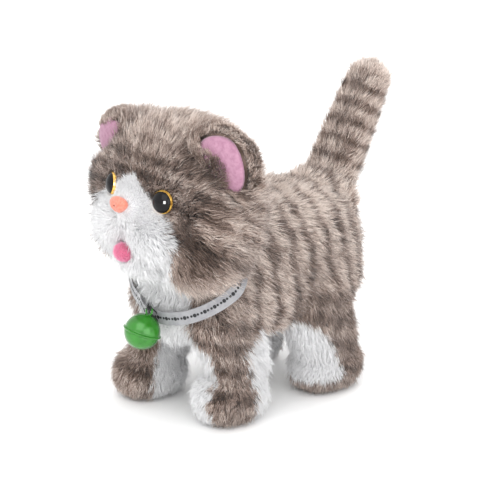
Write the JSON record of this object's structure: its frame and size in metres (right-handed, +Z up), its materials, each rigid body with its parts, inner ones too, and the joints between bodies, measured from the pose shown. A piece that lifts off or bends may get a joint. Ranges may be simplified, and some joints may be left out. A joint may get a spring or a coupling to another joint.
{
  "type": "interactive plush pet",
  "caption": "Standing plush kitten on a geared plastic walking mechanism, with nodding head, wagging tail and a bell collar.",
  "frame": {"origin": "on the floor under the middle of the bounding box", "axes": "+Z up; the kitten faces -Y and its left side is +X"},
  "size_m": [0.1098, 0.1723, 0.1617],
  "materials": {
    "fur": "long pile plush",
    "felt": "short nap felt",
    "nose": "flocked moulding",
    "tongue": "fleece",
    "eye": "polished dome with a gold ring",
    "steel": "plated",
    "motor_can": "satin",
    "shell_plastic": "moulded",
    "frame_plastic": "moulded",
    "gear_plastic": "natural acetal",
    "cell_jacket": "plain printed jacket",
    "tinned": "tin plated",
    "board": "solder mask",
    "speaker": "paper cone and steel frame",
    "knob": "moulded",
    "ribbon": "ribbed woven ribbon",
    "thread": "twisted cord",
    "bell_paint": "gloss enamel"
  },
  "bodies": {
    "torso": {"body_plush": "fur", "battery_cover": "shell_plastic", "chassis_left": "shell_plastic", "chassis_right": "shell_plastic", "chassis_screw_front": "steel", "chassis_screw_middle": "steel", "chassis_screw_rear": "steel", "gearbox_plate": "shell_plastic", "gear_axle_1": "steel", "gear_axle_2": "steel", "motor": "motor_can", "battery_tray": "shell_plastic", "battery_cell_left": "cell_jacket", "battery_cell_right": "cell_jacket", "contact_plate": "tinned", "contact_spring_left": "tinned", "contact_spring_right": "tinned", "battery_cover_screw": "steel", "switch_housing": "knob", "circuit_board": "board", "speaker": "speaker", "front_leg_axle": "steel", "hind_leg_axle": "steel", "neck_pin": "steel", "tail_pin": "steel", "collar_ribbon": "ribbon", "bell_thread": "thread"},
    "head": {"head_plush": "fur", "skull_shell": "shell_plastic", "eye_left": "eye", "eye_right": "eye", "nose": "nose", "tongue": "tongue", "inner_ear_left": "felt", "inner_ear_right": "felt"},
    "tail": {"tail_plush": "fur", "tail_arm": "frame_plastic"},
    "front_left_leg": {"front_left_leg_frame": "frame_plastic", "front_left_leg_plush": "fur"},
    "front_right_leg": {"front_right_leg_frame": "frame_plastic", "front_right_leg_plush": "fur"},
    "hind_left_leg": {"hind_left_leg_frame": "frame_plastic", "hind_left_leg_plush": "fur"},
    "hind_right_leg": {"hind_right_leg_frame": "frame_plastic", "hind_right_leg_plush": "fur"},
    "left_link": {"link_rod_left": "frame_plastic"},
    "right_link": {"link_rod_right": "frame_plastic"},
    "crank": {"crank_gear": "gear_plastic", "crank_shaft": "steel", "crank_wheel_left": "gear_plastic", "crank_wheel_right": "gear_plastic"},
    "second_gear": {"compound_gear_2": "gear_plastic"},
    "first_gear": {"compound_gear_1": "gear_plastic"},
    "pinion": {"motor_pinion": "gear_plastic"},
    "power_switch": {"switch_knob": "knob"},
    "bell": {"bell_shell": "bell_paint"},
    "pellet": {"bell_clapper": "steel"}
  },
  "joints": [
    {"name": "front_left_leg_swing", "type": "hinge", "parent": "torso", "child": "front_left_leg", "pos_m": [0.025, -0.0405, 0.052], "axis": [1, 0, 0], "range_deg": [-16.5, 3.4]},
    {"name": "front_right_leg_swing", "type": "hinge", "parent": "torso", "child": "front_right_leg", "pos_m": [-0.025, -0.0405, 0.052], "axis": [1, 0, 0], "range_deg": [-3.4, 16.5]},
    {"name": "hind_left_leg_swing", "type": "hinge", "parent": "torso", "child": "hind_left_leg", "pos_m": [0.025, 0.023, 0.052], "axis": [1, 0, 0], "range_deg": [-16.5, 3.4]},
    {"name": "hind_right_leg_swing", "type": "hinge", "parent": "torso", "child": "hind_right_leg", "pos_m": [-0.025, 0.023, 0.052], "axis": [1, 0, 0], "range_deg": [-3.4, 16.5]},
    {"name": "left_link_pin", "type": "hinge", "parent": "front_left_leg", "child": "left_link", "pos_m": [0.0236, -0.04235, 0.06789], "axis": [1, 0, 0], "range_deg": [-3.4, 16.5]},
    {"name": "right_link_pin", "type": "hinge", "parent": "front_right_leg", "child": "right_link", "pos_m": [-0.0236, -0.03865, 0.06789], "axis": [1, 0, 0], "range_deg": [-16.5, 3.4]},
    {"name": "crank_turn", "type": "hinge", "parent": "torso", "child": "crank", "pos_m": [0, 0, 0.068], "axis": [1, 0, 0], "continuous": true},
    {"name": "second_gear_turn", "type": "hinge", "parent": "torso", "child": "second_gear", "pos_m": [0.0077, 0.00829, 0.07359], "axis": [1, 0, 0], "continuous": true},
    {"name": "first_gear_turn", "type": "hinge", "parent": "torso", "child": "first_gear", "pos_m": [0.0118, 0.01743, 0.07766], "axis": [1, 0, 0], "continuous": true},
    {"name": "motor_turn", "type": "hinge", "parent": "torso", "child": "pinion", "pos_m": [0.0118, 0.02733, 0.07627], "axis": [1, 0, 0], "continuous": true},
    {"name": "head_nod", "type": "hinge", "parent": "torso", "child": "head", "pos_m": [0, -0.036, 0.097], "axis": [1, 0, 0], "range_deg": [-4, 5]},
    {"name": "tail_wag", "type": "hinge", "parent": "torso", "child": "tail", "pos_m": [0, 0.0487, 0.08], "axis": [0, 1, 0], "range_deg": [-14, 14]},
    {"name": "power_switch_slide", "type": "slide", "parent": "torso", "child": "power_switch", "axis": [1, 0, 0], "range_m": [0, 0.003]},
    {"name": "bell_swing", "type": "hinge", "parent": "torso", "child": "bell", "pos_m": [0.0066, -0.0698, 0.0598], "axis": [1, 0, 0], "range_deg": [-25, 0]},
    {"name": "pellet_rattle", "type": "slide", "parent": "bell", "child": "pellet", "axis": [0, 0, 1], "range_m": [0, 0.004]}
  ],
  "couplings": [
    {"joint": "front_right_leg_swing", "follows": "front_left_leg_swing", "ratio": -1},
    {"joint": "hind_left_leg_swing", "follows": "front_left_leg_swing", "ratio": 1},
    {"joint": "hind_right_leg_swing", "follows": "front_left_leg_swing", "ratio": -1},
    {"joint": "left_link_pin", "follows": "front_left_leg_swing", "ratio": -1},
    {"joint": "right_link_pin", "follows": "front_left_leg_swing", "ratio": 1},
    {"joint": "second_gear_turn", "follows": "first_gear_turn", "ratio": -0.33333},
    {"joint": "crank_turn", "follows": "first_gear_turn", "ratio": 0.11111},
    {"joint": "motor_turn", "follows": "first_gear_turn", "ratio": -3}
  ]
}
